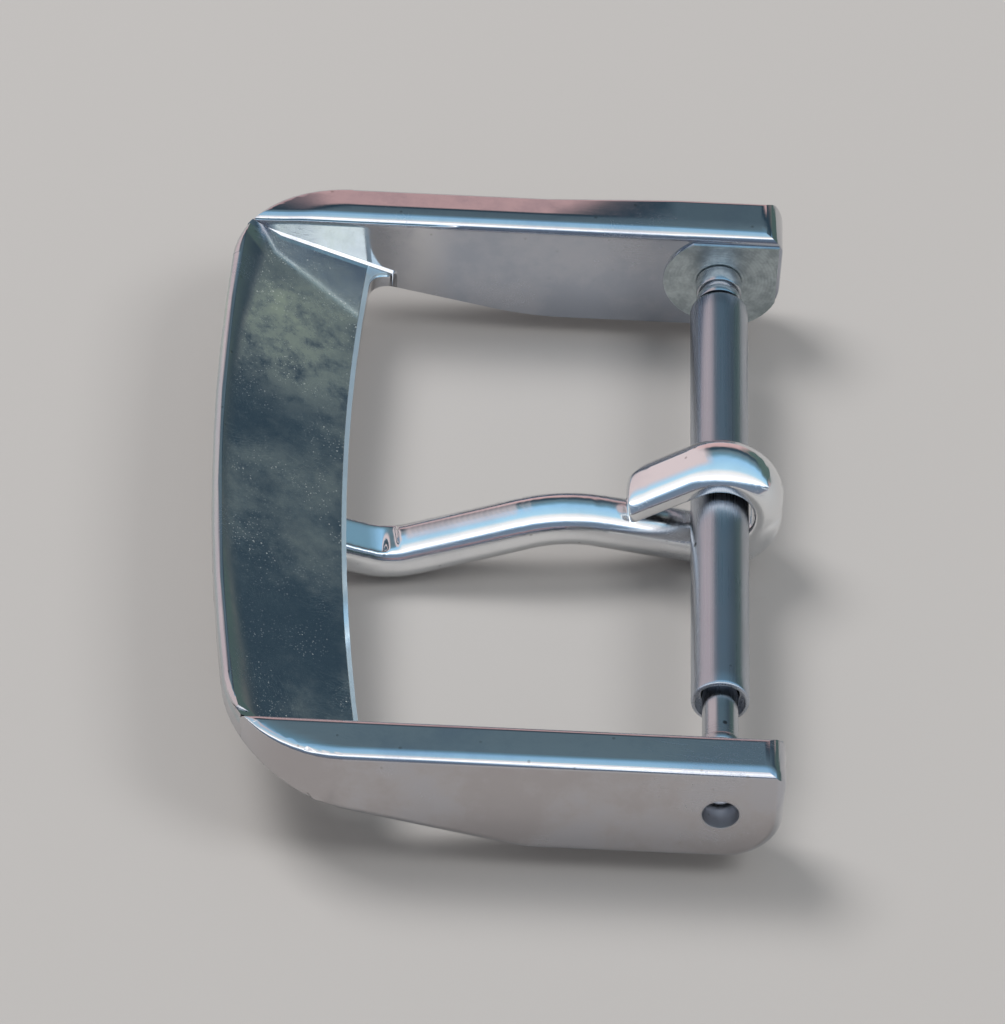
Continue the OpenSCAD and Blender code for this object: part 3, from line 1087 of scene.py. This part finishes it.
@dataclass
class BuckleTongue:
    """The bent wire tongue with its flattened eye.

    The skin's voxel is in millimetres, the other lengths are in metres.
    """

    voxel: float = 0.038
    smoothings: int = 9
    smooth_share: float = 0.5
    sharp: float = 80.0
    leg_end: Triple = (-2.45 * MM, 1.0 * MM, 0.10 * MM)
    leg_reach: float = 0.85 * MM
    leg_above: float = -0.05 * MM
    leg_smoothings: int = 60
    flat_start: float = -8.45 * MM
    flat_ease: float = 0.15 * MM
    flat_middle: float = 1.0 * MM
    flat_half: float = 0.42 * MM
    flat_up: float = 0.8
    wire_skew: float = math.radians(7.0)
    flat_lean: float = math.radians(15.0)
    plate: PolishedPlate = PolishedPlate(
        name="bright_plate_wire", tint=(0.84, 0.85, 0.86), gloss=0.06, slot="plated_wire",
        smudge_tint=(0.74, 0.75, 0.77), depth=7.0e-6, scratches=Scratches(amount=0.45))

    def build(self) -> bpy.types.Object:
        """Makes the tongue as one skin with soft creases.

        Returns:
            The dressed piece.
        """
        shape = Shape.from_node("tongue_wire", "tongue")
        shape.bm = self.one_skin(shape.bm)
        self.tilt_flat(shape.bm)
        end = Vector(self.leg_end)
        leg = [v for v in shape.bm.verts
               if (v.co - end).length < self.leg_reach and v.co.z > self.leg_above]
        for verts, times in ((leg, self.leg_smoothings), (shape.bm.verts, self.smoothings)):
            for _ in range(times):
                bmesh.ops.smooth_vert(shape.bm, verts=verts, factor=self.smooth_share,
                                      use_axis_x=True, use_axis_y=True, use_axis_z=True)
        return shape.finish("tongue", "tongue", self.plate, self.sharp)

    def tilt_flat(self, bm: bmesh.types.BMesh) -> None:
        """Leans the pressed flat a little, down on its near side.

        Args:
            bm: The tongue's skin.
        """
        bm.normal_update()
        for vert in bm.verts:
            if vert.co.x < self.flat_start and vert.normal.z > self.flat_up:
                middle = self.flat_middle + vert.co.x * math.tan(self.wire_skew)
                share = min((self.flat_start - vert.co.x) / self.flat_ease, 1.0)
                near = max(0.0, middle + self.flat_half - vert.co.y)
                vert.co.z -= share * near * math.tan(self.flat_lean)

    def one_skin(self, rough: bmesh.types.BMesh) -> bmesh.types.BMesh:
        """Remeshes a closed mesh in voxels, at 1000 times its size.

        Args:
            rough: The mesh, which is freed.

        Returns:
            The evenly meshed skin, at its own size.
        """
        bmesh.ops.scale(rough, verts=rough.verts, vec=(1.0 / MM,) * 3)
        mesh = bpy.data.meshes.new("tongue_skin")
        rough.to_mesh(mesh)
        rough.free()
        carrier = hang("tongue_skin", mesh)
        remesh = carrier.modifiers.new("skin", "REMESH")
        remesh.mode, remesh.voxel_size, remesh.adaptivity = "VOXEL", self.voxel, 0.0
        graph = bpy.context.evaluated_depsgraph_get()
        skin = bmesh.new()
        skin.from_mesh(carrier.evaluated_get(graph).to_mesh())
        bmesh.ops.scale(skin, verts=skin.verts, vec=(MM,) * 3)
        bpy.data.objects.remove(carrier)
        bpy.data.meshes.remove(mesh)
        return skin


@dataclass
class SpringBar:
    """The spring bar: a crimped tube, two sprung plungers and the coil inside.

    The outlines are in millimetres: the radius, then the place along the bar. The tube's
    rim is measured from its outer radius, and the collar from the plunger's inner end.
    """

    sharp: float = 40.0
    tube_radius: float = 0.75
    tube_rim: tuple[Point, ...] = (
        (-0.09, 0.0), (-0.045, 0.012), (-0.012, 0.045), (0.0, 0.10), (0.0, 0.5))
    mouth_radius: float = 0.645
    neck_radius: float = 0.5
    bore_radius: float = 0.625
    neck: Band = (0.3, 0.7)
    tip: tuple[Point, ...] = (
        (0.0, 0.0), (0.30, 0.0), (0.355, 0.015), (0.388, 0.05), (0.40, 0.10), (0.40, 0.80))
    flanges: tuple[Point, ...] = (
        (0.55, 0.80), (0.578, 0.812), (0.59, 0.84), (0.59, 1.26), (0.578, 1.288), (0.55, 1.30),
        (0.475, 1.30), (0.475, 1.47), (0.56, 1.47), (0.582, 1.482), (0.59, 1.50),
        (0.59, 1.67), (0.582, 1.69), (0.56, 1.70), (0.465, 1.70))
    collar: tuple[Point, ...] = (
        (0.465, -1.0), (0.58, -1.0), (0.60, -0.98), (0.60, -0.04), (0.58, 0.0), (0.0, 0.0))
    steel: SatinSteel = SatinSteel(
        name="satin_steel_tube", tint=(0.45, 0.48, 0.53), gloss=0.20, slot="bar_steel",
        marks=Relief.ALONG, pitch=0.035 * MM)
    turned: SatinSteel = SatinSteel(
        name="turned_steel_plunger", tint=(0.52, 0.54, 0.57), gloss=0.14, slot="bar_steel",
        marks=Relief.RINGS, pitch=0.045 * MM)
    wire: SatinSteel = SatinSteel(
        name="drawn_spring_wire", tint=(0.48, 0.48, 0.50), gloss=0.24, slot="spring_steel",
        marks=Relief.RINGS, pitch=0.03 * MM)

    def tube(self) -> bpy.types.Object:
        """Makes the loose tube, open at both ends.

        Returns:
            The dressed piece.
        """
        low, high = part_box("spring_bar_tube")
        length = (high.y - low.y) / MM
        near, far = self.neck
        half = [(self.mouth_radius, 0.0), *((self.tube_radius + r, y) for r, y in self.tube_rim)]
        inner = [(self.mouth_radius, near), (self.neck_radius, near),
                 (self.neck_radius, far), (self.bore_radius, far)]
        outer = half + [(r, length - y) for r, y in reversed(half)]
        bore = [(r, length - y) for r, y in inner] + inner[::-1]
        shape = TurnedShape("bar_tube", outer + bore, closed=True).build(low.y, Side.FAR)
        return shape.finish("tube", "spring_bar_tube", self.steel, self.sharp)

    def plunger(self, side: Side) -> bpy.types.Object:
        """Makes one plunger: tip, two flanges with a groove between, shaft and collar.

        Args:
            side: The arm that its tip goes into.

        Returns:
            The dressed piece.
        """
        near = side is Side.NEAR
        node = "near_plunger" if near else "far_plunger"
        low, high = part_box(node)
        length = (high.y - low.y) / MM
        outline = [*self.tip, *self.flanges, *((r, length + y) for r, y in self.collar)]
        shape = TurnedShape(node.replace("plunger", "bar_pin"), outline).build(
            low.y if near else high.y, Side.FAR if near else Side.NEAR)
        return shape.finish(node, node, self.turned, self.sharp)

    def coil(self) -> bpy.types.Object:
        """Gives the coil its finish.

        Returns:
            The CAD node, dressed.
        """
        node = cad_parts["bar_spring"]
        node.data.materials.clear()
        node.data.materials.append(self.wire.material())
        LOG.info("bar_spring: shown as its solid is")
        return node

    def build(self) -> None:
        """Makes all the spring bar's pieces."""
        self.tube()
        for side in Side:
            self.plunger(side)
        self.coil()


# Studio


@dataclass(frozen=True)
class Card:
    """A coloured card, shown to the rays whose X, Y and Z pass its bands."""

    tint: Triple
    bands: tuple[Band, ...]

    def over(self, ray: list[Field], cards: Field) -> Field:
        """Returns the colour of the cards with this one before them."""
        first, *others = (part.ease(band) for part, band in zip(ray, self.bands))
        return math.prod(others, start=first).mix(cards, self.tint)


@dataclass(frozen=True)
class Lamp:
    """A soft square panel that looks at the buckle, in metres and watts."""

    name: str
    at: Triple
    size: float
    watts: float
    tint: Triple = (1.0, 1.0, 1.0)
    aim: Triple = (-0.005, 0.0, 0.0)

    def build(self) -> None:
        """Hangs the lamp, unseen by polished metal, which mirrors the cards."""
        made = bpy.data.lights.new(self.name, "AREA")
        made.shape, made.size = "SQUARE", self.size
        made.energy, made.color = self.watts, self.tint
        holder = hang(self.name, made)
        holder.visible_glossy = False
        turn = (Vector(self.aim) - Vector(self.at)).to_track_quat("-Z", "Y")
        holder.matrix_world = Matrix.Translation(self.at) @ turn.to_matrix().to_4x4()


@dataclass
class Studio:
    """The pale floor, the soft lights and the camera.

    Lengths are in metres, and the camera's lens and sensor in millimetres.
    """

    camera_at: Triple = (-21.0925 * MM, -305.5383 * MM, 305.213 * MM)
    camera_right: Triple = (0.99830894, 0.00697981, 0.0577109)
    camera_up: Triple = (-0.04573607, 0.70708828, 0.70564465)
    camera_back: Triple = (-0.03588143, -0.70709083, 0.70621178)
    lens: float = 591.96
    sensor: float = 36.0
    clip: Band = (0.02, 10.0)
    floor_tint: Triple = (0.50, 0.475, 0.455)
    floor_pale_tint: Triple = (0.525, 0.49875, 0.47775)
    floor_cloud: Noise = Noise(14.0)
    floor_cloud_share: float = 0.5
    floor_roughness: float = 0.6
    floor_size: float = 1.2
    backdrop_tint: Triple = (0.56, 0.54, 0.52)
    room_tint: Triple = (0.36, 0.37, 0.38)
    overhead: tuple[tuple[float, Triple], ...] = (
        (0.000, (0.72, 0.50, 0.50)),
        (0.115, (0.66, 0.44, 0.44)),
        (0.155, (0.06, 0.09, 0.11)),
        (0.195, (0.025, 0.055, 0.085)),
        (0.255, (0.15, 0.22, 0.26)),
        (0.330, (0.17, 0.32, 0.42)),
        (0.400, (0.36, 0.66, 0.95)),
        (0.600, (0.50, 0.80, 1.00)),
        (0.660, (1.00, 1.00, 1.00)),
        (0.730, (1.20, 1.20, 1.25)),
        (0.748, (2.10, 2.15, 2.20)),
        (0.778, (2.10, 2.15, 2.20)),
        (0.815, (0.40, 0.62, 0.86)),
        (0.845, (0.16, 0.23, 0.32)),
        (1.000, (0.20, 0.22, 0.27)),
    )
    cards: tuple[Card, ...] = (
        Card((0.10, 0.16, 0.15), ((0.25, 0.50), (0.0, 0.3), (0.42, 0.30))),
        Card((0.78, 0.66, 0.67), ((-0.20, -0.45), (-0.2, 0.2))),
    )
    lamps: tuple[Lamp, ...] = (
        Lamp("key_panel", (-0.16, 0.12, 0.30), 0.16, 0.82),
        Lamp("fill_panel", (0.20, -0.06, 0.30), 0.14, 0.34, (0.97, 0.99, 1.0)),
    )

    def camera(self) -> None:
        """Puts the camera where the photograph was taken from."""
        made = bpy.data.cameras.new("studio_camera")
        made.sensor_width, made.lens = self.sensor, self.lens
        made.clip_start, made.clip_end = self.clip
        holder = hang("studio_camera", made)
        turn = Matrix((self.camera_right, self.camera_up, self.camera_back)).transposed()
        holder.matrix_world = Matrix.Translation(self.camera_at) @ turn.to_4x4()
        bpy.context.scene.camera = holder

    def floor(self) -> None:
        """Lays the pale table that the buckle rests on."""
        lowest = min(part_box(node)[0].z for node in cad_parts)
        bm = bmesh.new()
        bmesh.ops.create_grid(bm, x_segments=2, y_segments=2, size=self.floor_size / 2)
        bmesh.ops.translate(bm, verts=bm.verts, vec=(0.0, 0.0, lowest))
        mesh = bpy.data.meshes.new("studio_floor")
        bm.to_mesh(mesh)
        bm.free()
        made = hang("studio_floor", mesh)
        mesh.materials.append(self.floor_material())

    def floor_material(self) -> bpy.types.Material:
        """Makes the floor's plain pale paint, open from below.

        Returns:
            The material.
        """
        made, bench = new_material("pale_table")
        shade = self.floor_cloud.over(bench.place()) * self.floor_cloud_share
        paint = bench.add("ShaderNodeBsdfPrincipled", None, {
            "Base Color": shade.mix(self.floor_tint, self.floor_pale_tint),
            "Roughness": self.floor_roughness})
        clear = bench.add("ShaderNodeBsdfTransparent")
        below = bench.add("ShaderNodeNewGeometry", out="Backfacing")
        shown = bench.add("ShaderNodeMixShader", None, {0: below, 1: paint, 2: clear})
        bench.add("ShaderNodeOutputMaterial", None, {"Surface": shown})
        return made

    def world(self) -> None:
        """Hangs soft cards round the stage, pale where the camera looks past them."""
        world = bpy.data.worlds.new("studio_cards")
        bpy.context.scene.world = world
        world.use_nodes = True
        bench = Bench(world.node_tree)
        ray = bench.add("ShaderNodeTexCoord", out="Generated").parts()
        shown = bench.add("ShaderNodeValToRGB", {"stops": self.overhead},
                          {"Fac": ray[2].angle(ray[1]) / math.pi})
        for card in self.cards:
            shown = card.over(ray, shown)
        glossy = bench.add("ShaderNodeLightPath", out="Is Glossy Ray")
        camera = bench.add("ShaderNodeLightPath", out="Is Camera Ray")
        shown = camera.mix(glossy.mix(self.room_tint, shown), self.backdrop_tint)
        light = bench.add("ShaderNodeBackground", None, {"Color": shown, "Strength": 1.0})
        bench.add("ShaderNodeOutputWorld", None, {"Surface": light})

    def build(self) -> None:
        """Sets up the whole studio."""
        self.camera()
        self.floor()
        self.world()
        for lamp in self.lamps:
            lamp.build()
        bpy.context.scene.view_settings.view_transform = "Standard"
        LOG.info("studio set")


def main() -> None:
    """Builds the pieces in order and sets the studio."""
    logging.basicConfig(level=logging.INFO, format="%(name)s: %(message)s")
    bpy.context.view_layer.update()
    BuckleFrame().build()
    BuckleTongue().build()
    SpringBar().build()
    Studio().build()


if __name__ == "__main__":
    main()
